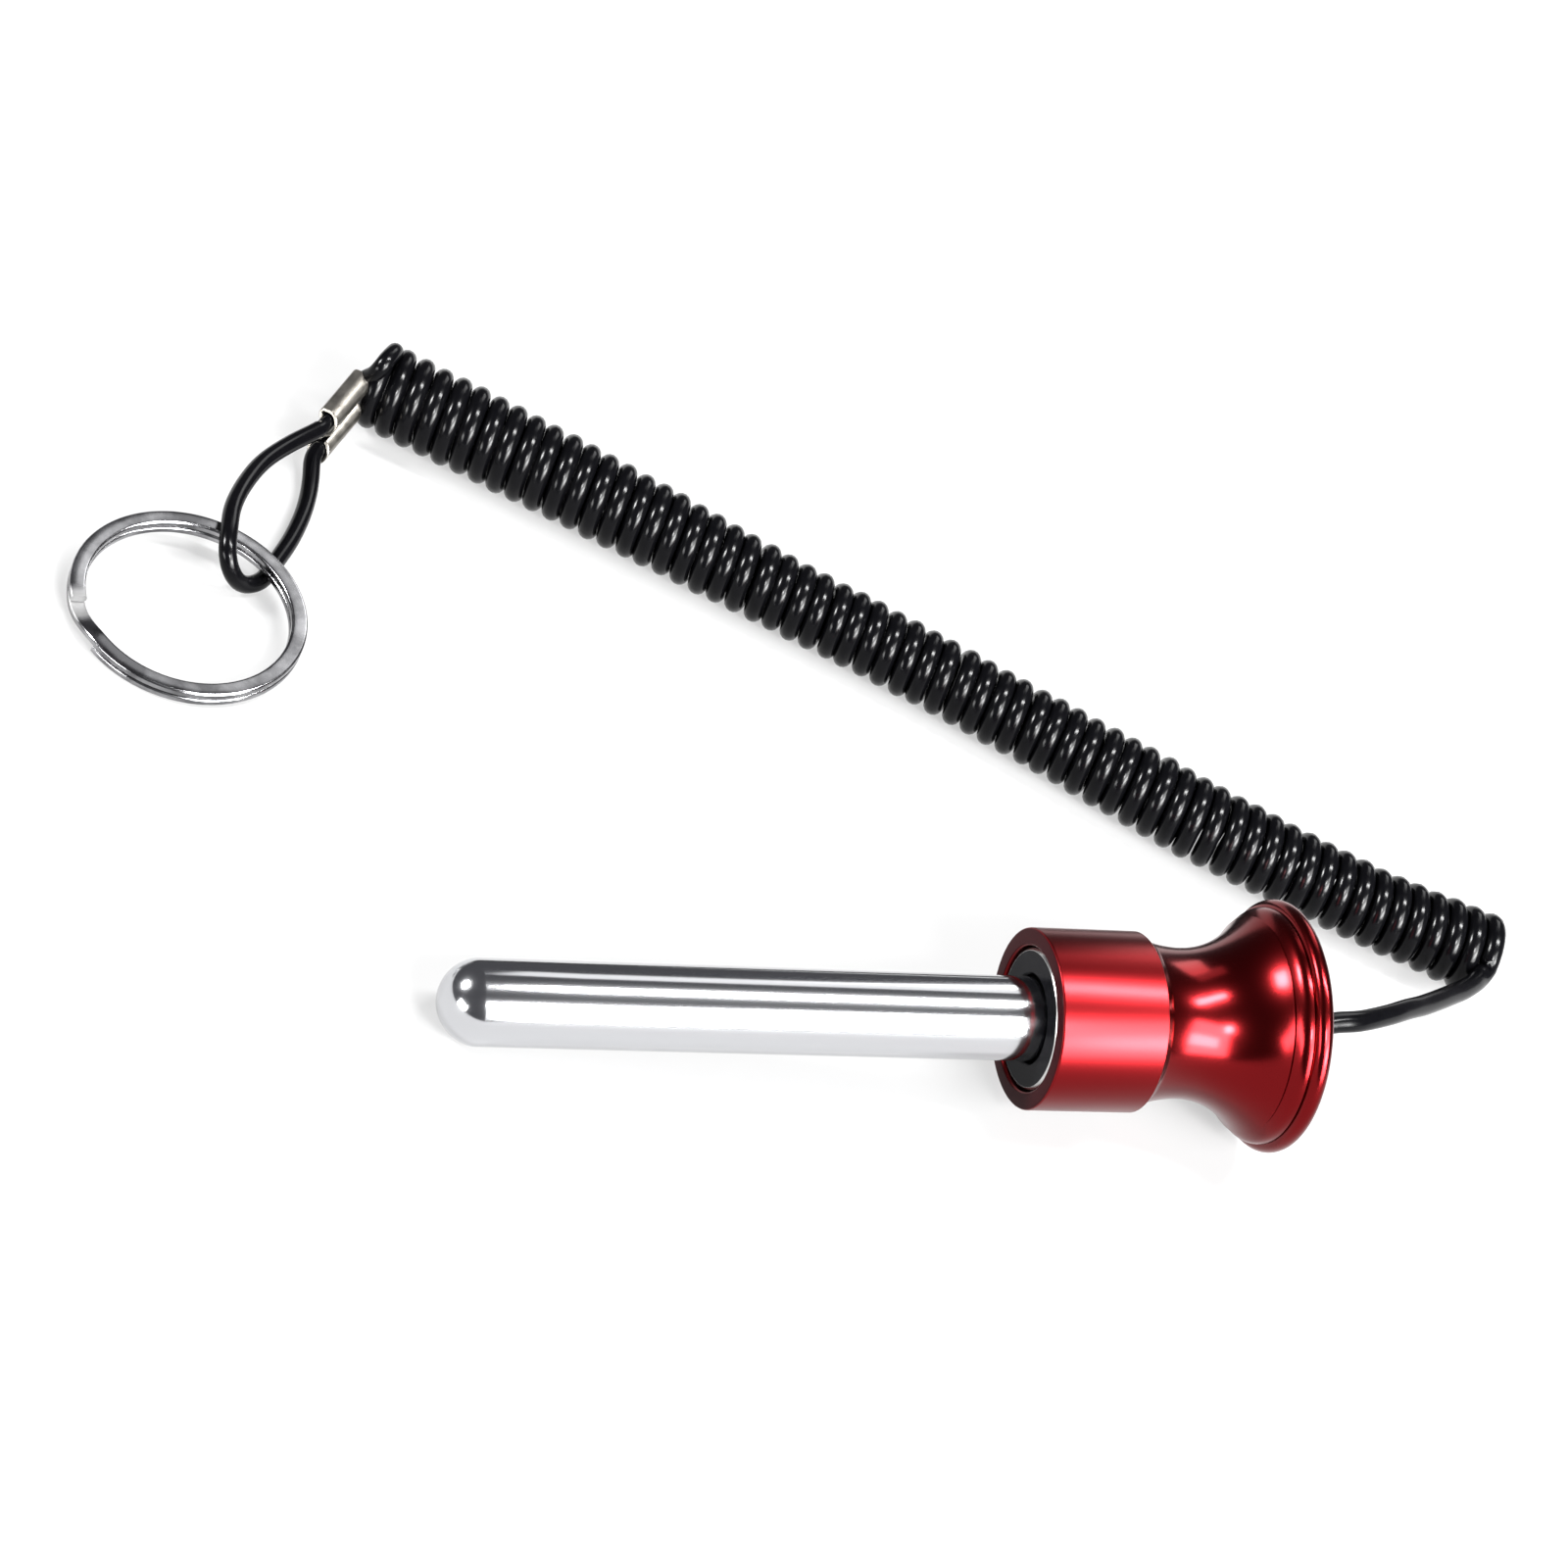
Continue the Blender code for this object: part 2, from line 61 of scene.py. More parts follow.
# The cord: a thin steel line in a smooth black plastic covering, 2.5 mm across, wound while warm into a close
# coil of about sixty turns. It runs from the knob's back into the coil's near end. At the far end it is
# kinked back into the crimp, makes the loop for the ring and ends inside the crimp's lower barrel.
cord_radius = 0.00125
lead_radius = 0.00132
loop_radius = 0.0011
squeezed_radius = 0.00094
coil_pitch = 0.002634
first_angle = math.radians(-68)
last_angle = math.radians(-12)
points_a_turn = 24
bar_radius = 0.0050
bar_reach = 0.0674
knob_length = 0.0329
rest_tilt = 0.102483
crease_at = Vector((-0.048463, 0.0, bar_radius * math.cos(rest_tilt)))
pin_line = Vector((math.cos(rest_tilt), 0.0, math.sin(rest_tilt)))
cord_exit = crease_at + pin_line * (bar_reach + knob_length)
# The cord begins in its stop, this far behind the collar's face, and leaves the knob with a straight run
cord_start = 0.022
exit_run = 0.0038
lead_route = [
    (0.0080, 0.0007, 0.0162),
    (0.0117, 0.0014, 0.0162),
    (0.0172, 0.0040, 0.0150),
    (0.0218, 0.0067, 0.0136),
    (0.0255, 0.0089, 0.0122),
    (0.0294, 0.0114, 0.0108),
    (0.0333, 0.0140, 0.0094),
    (0.0363, 0.0160, 0.0084),
    (0.0391, 0.0181, 0.0075),
    (0.0413, 0.0200, 0.0068),
]
# The coil's middle line on the table, with the height of its axis there, which is also its outer radius
coil_route = [
    (0.0445, 0.0252, 0.0056),
    (0.0413, 0.0267, 0.0056),
    (0.0350, 0.0296, 0.0054),
    (0.0261, 0.0338, 0.0053),
    (0.0092, 0.0426, 0.00547),
    (-0.0005, 0.0488, 0.00545),
    (-0.0131, 0.0573, 0.00512),
    (-0.0292, 0.0672, 0.00507),
    (-0.0454, 0.0761, 0.00515),
    (-0.0623, 0.0853, 0.0056),
    (-0.0781, 0.0938, 0.00585),
    (-0.0939, 0.1021, 0.0059),
    (-0.09585, 0.10312, 0.0059),
]
tail_route = [
    (-0.09500, 0.10363, 0.01150),
    (-0.09628, 0.10142, 0.01240),
    (-0.09730, 0.10002, 0.01220),
    (-0.09785, 0.09948, 0.01130),
    (-0.09805, 0.10000, 0.00980),
]
loop_route = [
    (-0.1092, 0.0893, 0.0056),
    (-0.1134, 0.0848, 0.0060),
    (-0.1166, 0.0798, 0.0064),
    (-0.1190, 0.0746, 0.0069),
    (-0.1201, 0.0701, 0.00695),
    (-0.1204, 0.0672, 0.0060),
    (-0.1193, 0.0662, 0.0038),
    (-0.1171, 0.0668, 0.00155),
    (-0.1144, 0.0684, 0.00115),
    (-0.1121, 0.0721, 0.00115),
    (-0.1096, 0.0764, 0.00115),
    (-0.1074, 0.0812, 0.00115),
    (-0.1060, 0.0853, 0.00115),
    (-0.1053, 0.0886, 0.0016),
]
# The steps in which the lead's line is followed, and those of the coil's middle line and the tail
route_shares = 24
lead_step = 0.0008
line_step = 0.0005
corner_passes = 5
# How far a turn strays along the coil, in steps of its middle line, how much smaller it is wound than the
# coil's outside, and by how much the first turn stands open
sway_size = 0.14
sway_waves = [(1.7, 0.0), (2.9, 1.3), (0.61, 0.4)]
slack_waves = [(0.00004, 2.3), (0.00003, 5.1)]
open_by = 0.0002
open_turns = 0.6
# The lead's thickness runs this many points into the coil and fades over the last of them, and the tail's
# comes in over the first few of its own
lead_points_in_coil = 36
lead_fade = 12
tail_fade = 6
# Where the crimp lies on the cord, which way it points and how far apart its barrels are
crimp_at = Vector((cord_exit.x - 0.10181, cord_exit.y + 0.09623, 0.00521))
crimp_line = Vector((-0.579, -0.780, -0.238)).normalized()
crimp_down = Vector((1.04, 0.15, -3.02))
crimp_down = (crimp_down - crimp_line * crimp_down.dot(crimp_line)).normalized()
crimp_out = crimp_line.cross(crimp_down)
crimp_length = 0.0081
crimp_skew = 0.0020
crimp_reach = 0.0028
barrel_spacing = 0.0032
mouth_run = 0.001
return_run = 0.0012


def from_exit(route):
    """Points given along and across from the cord's exit, and by their height, as places on the table."""
    return [Vector((cord_exit.x + along, cord_exit.y + across, height)) for along, across, height in route]


def in_barrel(barrel, end, beyond):
    """A point on the line of the upper (-1) or lower (1) barrel, beyond its coil (-1) or loop (1) end."""
    shift = barrel * crimp_skew / 2 + end * (crimp_length / 2 + beyond)
    return crimp_at + crimp_down * barrel * barrel_spacing / 2 + crimp_line * shift


def run_length(points):
    """How far it is along a run of points."""
    return sum((far - near).length for near, far in zip(points, points[1:]))


def smooth_line(route, step):
    """Evenly spaced points of a smooth curve through a route's points."""
    ends = [route[0] * 2 - route[1]] + list(route) + [route[-1] * 2 - route[-2]]
    fine = []
    for before, start, end, after in zip(ends, ends[1:], ends[2:], ends[3:]):
        for i in range(route_shares):
            t = i / route_shares
            slope = (end - before) * t + (2 * before - 5 * start + 4 * end - after) * t**2
            fine.append(start + (slope + (3 * start - before - 3 * end + after) * t**3) / 2)
    fine.append(ends[-2])
    run = [0.0]
    for near, far in zip(fine, fine[1:]):
        run.append(run[-1] + (far - near).length)
    count = max(2, round(run[-1] / step))
    spaced = []
    place = 0
    for i in range(count + 1):
        wanted = run[-1] * i / count
        while place < len(run) - 2 and run[place + 1] < wanted:
            place += 1
        share = (wanted - run[place]) / (run[place + 1] - run[place])
        spaced.append(fine[place].lerp(fine[place + 1], share))
    return spaced


def eased(points, passes):
    """The same run of points with its sharpest corners rounded off."""
    for _ in range(passes):
        threes = zip(points, points[1:], points[2:])
        inner = [(before + here * 2 + after) / 4 for before, here, after in threes]
        points = [points[0]] + inner + [points[-1]]
    return points


def coil_turns():
    """The centreline of the coil's turns, from the lead's end to the tail's end, a little uneven as wound."""
    line = smooth_line(from_exit(coil_route), line_step)
    part_turn = (last_angle - first_angle) / math.tau % 1.0
    turns = round(run_length(line) / coil_pitch - part_turn) + part_turn
    count = round(turns * points_a_turn)
    points = []
    for i in range(count + 1):
        share = i / count
        turn = share * turns
        sway = sum(math.sin(rate * turn + shift) for rate, shift in sway_waves)
        place = share * (len(line) - 1) + sway_size * sway * math.sin(math.pi * share)
        near = min(int(place), len(line) - 2)
        centre = line[near].lerp(line[near + 1], place - near)
        along = (line[near + 1] - line[near]).normalized()
        across = Vector((along.y, -along.x, 0.0))
        angle = first_angle + math.tau * turn
        radius = centre.z - cord_radius
        for size, rate in slack_waves:
            radius -= size * (1 + math.sin(rate * turn))
        radius += open_by * max(0.0, 1 - turn / open_turns)
        points.append(centre + (Vector((0, 0, 1)) * math.cos(angle) + across * math.sin(angle)) * radius)
    return points


coil_points = coil_turns()
lead_points = [crease_at + pin_line * (bar_reach + cord_start), cord_exit, cord_exit + pin_line * exit_run]
lead_points += from_exit(lead_route)
cord_points = smooth_line(lead_points + coil_points[:2], lead_step)[:-2]
lead_count = len(cord_points)
cord_points += coil_points[:-1]
coil_count = len(cord_points)
tail_points = coil_points[-2:] + from_exit(tail_route)
tail_points += [in_barrel(-1, -1, mouth_run), in_barrel(-1, -1, -mouth_run)]
tail_points += [in_barrel(-1, 1, -mouth_run), in_barrel(-1, 1, mouth_run)]
tail_points += from_exit(loop_route)
tail_points += [in_barrel(1, 1, return_run), in_barrel(1, 1, -mouth_run), in_barrel(1, -1, -mouth_run)]
cord_points += eased(smooth_line(tail_points, line_step), corner_passes)[1:]


def cord_thickness(i, point):
    """The cord's radius: full in the lead, thinner in the tail and the loop, and squeezed by the crimp."""
    reach = (point - crimp_at).dot(crimp_line)
    if (point - crimp_at - crimp_line * reach).length < crimp_reach and abs(reach) < crimp_length / 2:
        return squeezed_radius
    lead_end = lead_count + lead_points_in_coil
    if i < lead_end:
        return cord_radius + (lead_radius - cord_radius) * min(1.0, (lead_end - i) / lead_fade)
    return cord_radius + (loop_radius - cord_radius) * min(1.0, max(0.0, (i - coil_count) / tail_fade))


def cord_curve():
    """A round cord along its points, with its own thickness at each."""
    curve = bpy.data.curves.new("cord", "CURVE")
    curve.dimensions = "3D"
    curve.bevel_depth = cord_radius
    curve.bevel_resolution = 6
    curve.use_fill_caps = True
    spline = curve.splines.new("POLY")
    spline.points.add(len(cord_points) - 1)
    for i, (spot, point) in enumerate(zip(spline.points, cord_points)):
        spot.co = (*point, 1.0)
        spot.radius = cord_thickness(i, point) / cord_radius
    return curve


def new_finish(name):
    """A new material, its node tree and its shader."""
    material = bpy.data.materials.new(name)
    material.use_nodes = True
    return material, material.node_tree, material.node_tree.nodes["Principled BSDF"]


def table_place(tree):
    """Places on the table, for a piece that lies still."""
    return tree.nodes.new("ShaderNodeNewGeometry").outputs["Position"]


def noise(tree, place, scale, detail):
    """Soft random patches, as a value at each place."""
    node = tree.nodes.new("ShaderNodeTexNoise")
    node.inputs["Scale"].default_value = scale
    node.inputs["Detail"].default_value = detail
    tree.links.new(place, node.inputs["Vector"])
    return node.outputs["Fac"]


def ranged(tree, value, least, most, start=0.0, end=1.0):
    """A value that goes from least to most while the one it is read from goes from start to end."""
    node = tree.nodes.new("ShaderNodeMapRange")
    for name, number in (("From Min", start), ("From Max", end), ("To Min", least), ("To Max", most)):
        node.inputs[name].default_value = number
    tree.links.new(value, node.inputs["Value"])
    return node.outputs["Result"]


def shaded(tree, share, first, second):
    """A colour that goes from the first to the second; the first may be another node's colour."""
    node = tree.nodes.new("ShaderNodeMix")
    node.data_type = "RGBA"
    tree.links.new(share, node.inputs[0])
    if isinstance(first, tuple):
        node.inputs[6].default_value = (*first, 1.0)
    else:
        tree.links.new(first, node.inputs[6])
    node.inputs[7].default_value = (*second, 1.0)
    return node.outputs[2]


def bumped(tree, shader, height, strength, depth):
    """Fine relief on a finish."""
    node = tree.nodes.new("ShaderNodeBump")
    node.inputs["Strength"].default_value = strength
    node.inputs["Distance"].default_value = depth
    tree.links.new(height, node.inputs["Height"])
    tree.links.new(node.outputs["Normal"], shader.inputs["Normal"])


def added(name, data, finish):
    """A new piece in the scene, with its finish."""
    piece = bpy.data.objects.new(name, data)
    bpy.context.scene.collection.objects.link(piece)
    piece.data.materials.append(finish)
    return piece


def cord_covering():
    """Smooth black plastic with the faint waviness and scuffs of a covering that was pulled and wound."""
    material, tree, shader = new_finish("cord_covering")
    shader.inputs["Specular IOR Level"].default_value = 0.10
    scuffs = noise(tree, table_place(tree), 900.0, 4.0)
    tree.links.new(ranged(tree, scuffs, 0.16, 0.21), shader.inputs["Roughness"])
    black = shaded(tree, scuffs, (0.0005, 0.0005, 0.0007), (0.0012, 0.0012, 0.0015))
    tree.links.new(black, shader.inputs["Base Color"])
    ripple = noise(tree, table_place(tree), 420.0, 2.0)
    bumped(tree, shader, ripple, 0.03, 0.0002)
    return material


cord = added("cord", cord_curve(), cord_covering())
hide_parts("cord_lead", "cord_coil", "cord_tail", "cord_loop")
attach(cord, "pin")


# The crimp: one strip of nickel-plated steel, 0.35 mm thick, pressed round both runs of cord. Its first edge
# is curled in, it passes over the upper run, down between the two and round the lower one, and its ends are
# skewed.
strip_thickness = 0.00035
barrel_bore_radius = 0.00115
curl_radius = 0.0005
curl_set = 0.0006
curl_opening = 40
crease_angle = 15
lower_barrel_turn = 320
crimp_cuts = 14
edge_round = 0.00008


def round_points(centre, size, start, end, count):
    """Points of an arc in the plane, with angles in degrees."""
    points = []
    for i in range(count + 1):
        angle = math.radians(start + (end - start) * i / count)
        points.append(Vector((centre[0] + size * math.cos(angle), centre[1] + size * math.sin(angle))))
    return points


def crimp_section():
    """The closed outline of the strip, seen along the cord."""
    middle = barrel_bore_radius + strip_thickness / 2
    half = barrel_spacing / 2
    lower_start = 180 + crease_angle
    line = round_points((-half - middle + curl_radius, -curl_set), curl_radius, curl_opening, -180, count=20)
    line += round_points((-half, 0.0), middle, 180, crease_angle, count=36)
    line += round_points((half, 0.0), middle, lower_start, lower_start + lower_barrel_turn, count=64)
    left = []
    right = []
    for i, point in enumerate(line):
        along = (line[min(i + 1, len(line) - 1)] - line[max(i - 1, 0)]).normalized()
        side = Vector((-along.y, along.x)) * strip_thickness / 2
        left.append(point + side)
        right.append(point - side)
    return left + right[::-1]


def add_sides(shaped, rows):
    """The faces round a sweep, from each row of its points to the next."""
    for near, far in zip(rows, rows[1:]):
        for i in range(len(near)):
            j = (i + 1) % len(near)
            shaped.faces.new((near[i], near[j], far[j], far[i]))


def smooth_mesh(name, shaped, sharp_from):
    """The finished mesh, smooth but for the edges that turn by more than an angle in degrees."""
    bmesh.ops.recalc_face_normals(shaped, faces=shaped.faces)
    mesh = bpy.data.meshes.new(name)
    shaped.to_mesh(mesh)
    shaped.free()
    mesh.shade_smooth()
    mesh.set_sharp_from_angle(angle=math.radians(sharp_from))
    return mesh


def crimp_mesh():
    """The rolled strip, with its two skewed ends closed."""
    outline = crimp_section()
    shaped = bmesh.new()
    rows = []
    for k in range(crimp_cuts + 1):
        share = k / crimp_cuts - 0.5
        row = []
        for point in outline:
            slant = point.x * crimp_skew / barrel_spacing
            place = crimp_down * point.x + crimp_out * point.y + crimp_line * (share * crimp_length + slant)
            row.append(shaped.verts.new(crimp_at + place))
        rows.append(row)
    add_sides(shaped, rows)
    last = len(outline) - 1
    for row in (rows[0], rows[-1]):
        for i in range(len(outline) // 2 - 1):
            shaped.faces.new((row[i], row[i + 1], row[last - 1 - i], row[last - i]))
    return smooth_mesh("crimp", shaped, sharp_from=40)


def pressed_nickel():
    """Warm grey nickel plate, dulled and grained by the press and by handling."""
    material, tree, shader = new_finish("pressed_nickel")
    shader.inputs["Metallic"].default_value = 1.0
    grain = noise(tree, table_place(tree), 700.0, 5.0)
    nickel = shaded(tree, grain, (0.20, 0.185, 0.165), (0.31, 0.295, 0.265))
    tree.links.new(nickel, shader.inputs["Base Color"])
    tree.links.new(ranged(tree, grain, 0.22, 0.42), shader.inputs["Roughness"])
    bumped(tree, shader, grain, 0.15, 0.0001)
    return material


crimp = added("crimp", crimp_mesh(), pressed_nickel())
softened = crimp.modifiers.new("softened", "BEVEL")
softened.width = edge_round
softened.segments = 2
softened.limit_method = "ANGLE"
softened.angle_limit = math.radians(60)
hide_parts("ferrule")
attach(crimp, "pin")


# The split ring: flat spring wire, 2 mm wide and nearly 1 mm thick, wound twice and nickel plated. At the jog
# the wire passes from the lower layer to the upper one, and the two cut ends butt against it.
ring_radius = 0.0145
wire_width = 0.0020
wire_thickness = 0.00095
wire_round = 0.00034
layer_gap = 0.0001
jog_angle = math.radians(28)
jog_at = math.radians(184)
# Where the painted shade lies: just past the jog, full within the reach and fading out by the end
painted_shade_from_jog = math.radians(3)
painted_shade_reach = 0.0016
painted_shade_fade_end = 0.0030
ring_steps = 300
hold_angle = math.radians(55)
hold_at = Vector(frame["joints"][0]["pos_m"])
ring_middle_radius = ring_radius - wire_width / 2
stack = 2 * wire_thickness + layer_gap


def wire_section():
    """The wire's section with its rounded corners, as (out, up)."""
    points = []
    for corner in range(4):
        out = (1, -1, -1, 1)[corner] * (wire_width / 2 - wire_round)
        up = (1, 1, -1, -1)[corner] * (wire_thickness / 2 - wire_round)
        points += round_points((out, up), wire_round, 90 * corner, 90 * corner + 90, count=5)
    return points


def ring_placing():
    """Where the ring lies: it is held in the loop and leans down to the table on its far side."""
    reach = ring_middle_radius * 2 + wire_width / 2
    dip = math.asin(hold_at.z / math.hypot(reach, stack / 2)) - math.atan2(stack / 2, reach)
    placing = Matrix.Translation(hold_at) @ Matrix.Rotation(hold_angle + math.pi, 4, "Z")
    return placing @ Matrix.Rotation(dip, 4, "Y") @ Matrix.Translation((ring_middle_radius, 0.0, 0.0))


def ring_mesh():
    """The wire swept round its two turns, in the ring's own place."""
    placing = ring_placing()
    start = jog_at - (hold_angle + math.pi) + jog_angle
    section = wire_section()
    shaped = bmesh.new()
    rows = []
    for i in range(ring_steps + 1):
        angle = (2 * math.tau - jog_angle) * i / ring_steps
        ramp = min(1.0, max(0.0, (angle - (math.tau - jog_angle)) / jog_angle))
        lift = (wire_thickness + layer_gap) / 2 * (2 * (3 * ramp**2 - 2 * ramp**3) - 1)
        turn = start + angle
        row = []
        for point in section:
            radius = ring_middle_radius + point.x
            place = Vector((radius * math.cos(turn), radius * math.sin(turn), lift + point.y))
            row.append(shaped.verts.new(placing @ place))
        rows.append(row)
    add_sides(shaped, rows)
    shaped.faces.new(rows[0])
    shaped.faces.new(rows[-1])
    return smooth_mesh("split_ring_wire", shaped, sharp_from=40)


def vector_step(tree, operation, vector, by=(0.0, 0.0, 0.0)):
    """One step of working on places: a new place, or the number that a distance or a length gives."""
    node = tree.nodes.new("ShaderNodeVectorMath")
    node.operation = operation
    node.inputs[1].default_value = by
    tree.links.new(vector, node.inputs[0])
    return node.outputs["Value" if operation in ("DISTANCE", "LENGTH") else "Vector"]


def bright_nickel():
    """Bright nickel plate over hard wire, with rub marks, and painted shade where the jog begins, darker and
    rougher there.
    """
    material, tree, shader = new_finish("bright_nickel")
    shader.inputs["Metallic"].default_value = 1.0
    place = tree.nodes.new("ShaderNodeTexCoord").outputs["Object"]
    wear = noise(tree, place, 170.0, 5.0)
    patches = ranged(tree, wear, 0.0, 1.0, start=0.36, end=0.60)
    plate = shaded(tree, patches, (0.13, 0.13, 0.135), (0.40, 0.40, 0.41))
    # Painted shade: the wire is painted darker, and made rougher, in a patch just past the jog
    turn = jog_at - (hold_angle + math.pi) + painted_shade_from_jog
    painted_jog_shade_at = Vector((ring_middle_radius * math.cos(turn), ring_middle_radius * math.sin(turn), 0.0))
    from_jog = vector_step(tree, "DISTANCE", place, ring_placing() @ painted_jog_shade_at)
    painted_jog_shade = ranged(tree, from_jog, 1.0, 0.0, start=painted_shade_reach, end=painted_shade_fade_end)
    tree.links.new(shaded(tree, painted_jog_shade, plate, (0.22, 0.22, 0.22)), shader.inputs["Base Color"])
    matted = tree.nodes.new("ShaderNodeMix")
    matted.inputs[3].default_value = 0.55
    tree.links.new(painted_jog_shade, matted.inputs[0])
    tree.links.new(ranged(tree, wear, 0.10, 0.26), matted.inputs[2])
    tree.links.new(matted.outputs[0], shader.inputs["Roughness"])
    bumped(tree, shader, wear, 0.10, 0.0001)
    return material


split_ring_wire = added("split_ring_wire", ring_mesh(), bright_nickel())
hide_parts("split_ring")
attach(split_ring_wire, "ring")


# The bar: 10 mm round steel, ground and polished along its length, with a dome turned on its nose and a
# thinner spigot behind the shoulder that is pressed into the knob.
nose_height = 0.0043
nose_steps = 24
bar_steps = 6
spigot_radius = 0.0040
spigot_length = 0.0160
spigot_chamfer = 0.0005
magnet_sink = 0.00025
magnet_thickness = 0.0037
turn_steps = 192


def turned_mesh(name, profile, closed):
    """A turned piece in its place on the pin, from a profile of (radius, way behind the collar's face)."""
    shaped = bmesh.new()
    up = Vector((-math.sin(rest_tilt), 0.0, math.cos(rest_tilt)))
    side = Vector((0.0, 1.0, 0.0))
    rings = []
    for radius, way in profile:
        centre = crease_at + pin_line * (bar_reach + way)
        if radius == 0.0:
            rings.append([shaped.verts.new(centre)])
            continue
        ring = []
        for k in range(turn_steps):
            angle = math.tau * k / turn_steps
            ring.append(shaped.verts.new(centre + (up * math.cos(angle) + side * math.sin(angle)) * radius))
        rings.append(ring)
    pairs = list(zip(rings, rings[1:]))
    if closed:
        pairs.append((rings[-1], rings[0]))
    for near, far in pairs:
        for k in range(turn_steps):
            j = (k + 1) % turn_steps
            if len(near) == 1:
                shaped.faces.new((near[0], far[j], far[k]))
            elif len(far) == 1:
                shaped.faces.new((near[k], near[j], far[0]))
            else:
                shaped.faces.new((near[k], near[j], far[j], far[k]))
    return smooth_mesh(name, shaped, sharp_from=28)


def bar_profile():
    """The bar from the spigot's end to the tip of its nose."""
    shoulder = magnet_sink + magnet_thickness
    top = shoulder + spigot_length
    profile = [(0.0, top), (spigot_radius - spigot_chamfer, top), (spigot_radius, top - spigot_chamfer)]
    profile += [(spigot_radius, shoulder), (bar_radius, shoulder)]
    profile += [(bar_radius, -bar_reach * k / bar_steps) for k in range(bar_steps + 1)]
    size = (bar_radius**2 + nose_height**2) / (2 * nose_height)
    centre = size - nose_height
    first = math.asin(centre / size)
    for k in range(1, nose_steps):
        angle = first + (math.pi / 2 - first) * k / nose_steps
        profile.append((size * math.cos(angle), -bar_reach + centre - size * math.sin(angle)))
    profile.append((0.0, -bar_reach - nose_height))
    return profile


def pin_place(tree):
    """Places turned so that X runs along the pin, and Y and Z across it."""
    level = tree.nodes.new("ShaderNodeVectorRotate")
    level.rotation_type = "Y_AXIS"
    level.inputs["Angle"].default_value = rest_tilt
    tree.links.new(table_place(tree), level.inputs["Vector"])
    return level.outputs["Vector"]


def ground_steel():
    """Polished steel with fine marks that run along the bar."""
    material, tree, shader = new_finish("ground_steel")
    shader.inputs["Metallic"].default_value = 1.0
    shader.inputs["Base Color"].default_value = (0.52, 0.525, 0.54, 1.0)
    stretch = tree.nodes.new("ShaderNodeMapping")
    stretch.inputs["Scale"].default_value = (12.0, 900.0, 900.0)
    tree.links.new(pin_place(tree), stretch.inputs["Vector"])
    marks = noise(tree, stretch.outputs["Vector"], 1.0, 4.0)
    tree.links.new(ranged(tree, marks, 0.09, 0.17), shader.inputs["Roughness"])
    bumped(tree, shader, marks, 0.05, 0.00005)
    return material


bar = added("bar", turned_mesh("bar", bar_profile(), closed=False), ground_steel())
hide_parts("pin_shaft")
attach(bar, "pin")


# The magnet: a pressed ring with a black coating, glued in the collar a quarter of a millimetre below its
# rim. It pulls the collar against the weight plate, and its outer edge is painted bright metal as a painted
# highlight.
magnet_radius = 0.00835
magnet_edge = 0.0003
magnet_round = 0.0002
painted_glint_blur = 0.00004
fit = 0.0003


def magnet_profile():
    """The ring's section, with its outer edge chamfered and the small rounds of its coating."""
    inner = bar_radius + fit
    front = magnet_sink
    back = magnet_sink + magnet_thickness
    profile = [(inner, back), (magnet_radius - magnet_round, back), (magnet_radius, back - magnet_round)]
    profile += [(magnet_radius, front + magnet_edge), (magnet_radius - magnet_edge, front)]
    profile += [(inner + magnet_round, front), (inner, front + magnet_round)]
    return profile


def magnet_coating():
    """Gloss black coating over the pressed magnet, with its outer edge painted bright metal as a painted
    highlight.
    """
    material, tree, shader = new_finish("magnet_coating")
    shader.inputs["Specular IOR Level"].default_value = 0.03
    specks = noise(tree, table_place(tree), 1500.0, 3.0)
    black = shaded(tree, specks, (0.0015, 0.0015, 0.002), (0.005, 0.005, 0.006))
    axis_height = crease_at.z * math.cos(rest_tilt) - crease_at.x * math.sin(rest_tilt)
    from_axis = vector_step(tree, "SUBTRACT", pin_place(tree), (0.0, 0.0, axis_height))
    radius = vector_step(tree, "LENGTH", vector_step(tree, "MULTIPLY", from_axis, (0.0, 1.0, 1.0)))
    # Painted highlight: a bright metal band painted round the outer edge, from this radius outwards
    edge_start = magnet_radius - magnet_edge
    painted_glint = ranged(tree, radius, 0.0, 1.0, start=edge_start - painted_glint_blur, end=edge_start + painted_glint_blur)
    tree.links.new(shaded(tree, painted_glint, black, (0.50, 0.50, 0.49)), shader.inputs["Base Color"])
    tree.links.new(painted_glint, shader.inputs["Metallic"])
    tree.links.new(ranged(tree, specks, 0.16, 0.30), shader.inputs["Roughness"])
    return material


magnet = added("magnet", turned_mesh("magnet", magnet_profile(), closed=True), magnet_coating())
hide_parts("magnet_ring")
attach(magnet, "pin")


# The knob: one piece of aluminium turned from bar and anodised red. The collar is left satin from the tool,
# and the waist, flare, bead and rim are polished. It is bored from the front for the magnet, the spigot and
# the cord's stop.
collar_radius = 0.01075
collar_length = 0.0134
collar_edge = 0.0003
collar_step = 0.0009
recess_chamfer = 0.0002
waist_radius = 0.0090
waist_at = 0.0195
flare_radius = 0.0131
flare_at = 0.0285
bead_radius = 0.0144
bead_width = 0.0020
bead_swell = 0.00035
bead_steps = 18
groove_depth = 0.00018
rim_radius = 0.0152
rim_round = 0.0011
stop_radius = 0.00295
stop_length = 0.0060
# The front face is painted dark as painted shade and runs into the red over its rounded edge, and satin turns
# to polish just behind the collar
painted_shade_face_end = 0.00003
red_start = 0.00015
polish_run = 0.0006


def waist_points(end_at, end_radius, count):
    """The waist's arc from its narrowest place to one of its ends."""
    run = abs(end_at - waist_at)
    rise = end_radius - waist_radius
    size = (run * run + rise * rise) / (2 * rise)
    sweep = math.asin(run / size)
    way = 1 if end_at > waist_at else -1
    points = []
    for k in range(1, count + 1):
        angle = sweep * k / count
        points.append((waist_radius + size * (1 - math.cos(angle)), waist_at + way * size * math.sin(angle)))
    return points


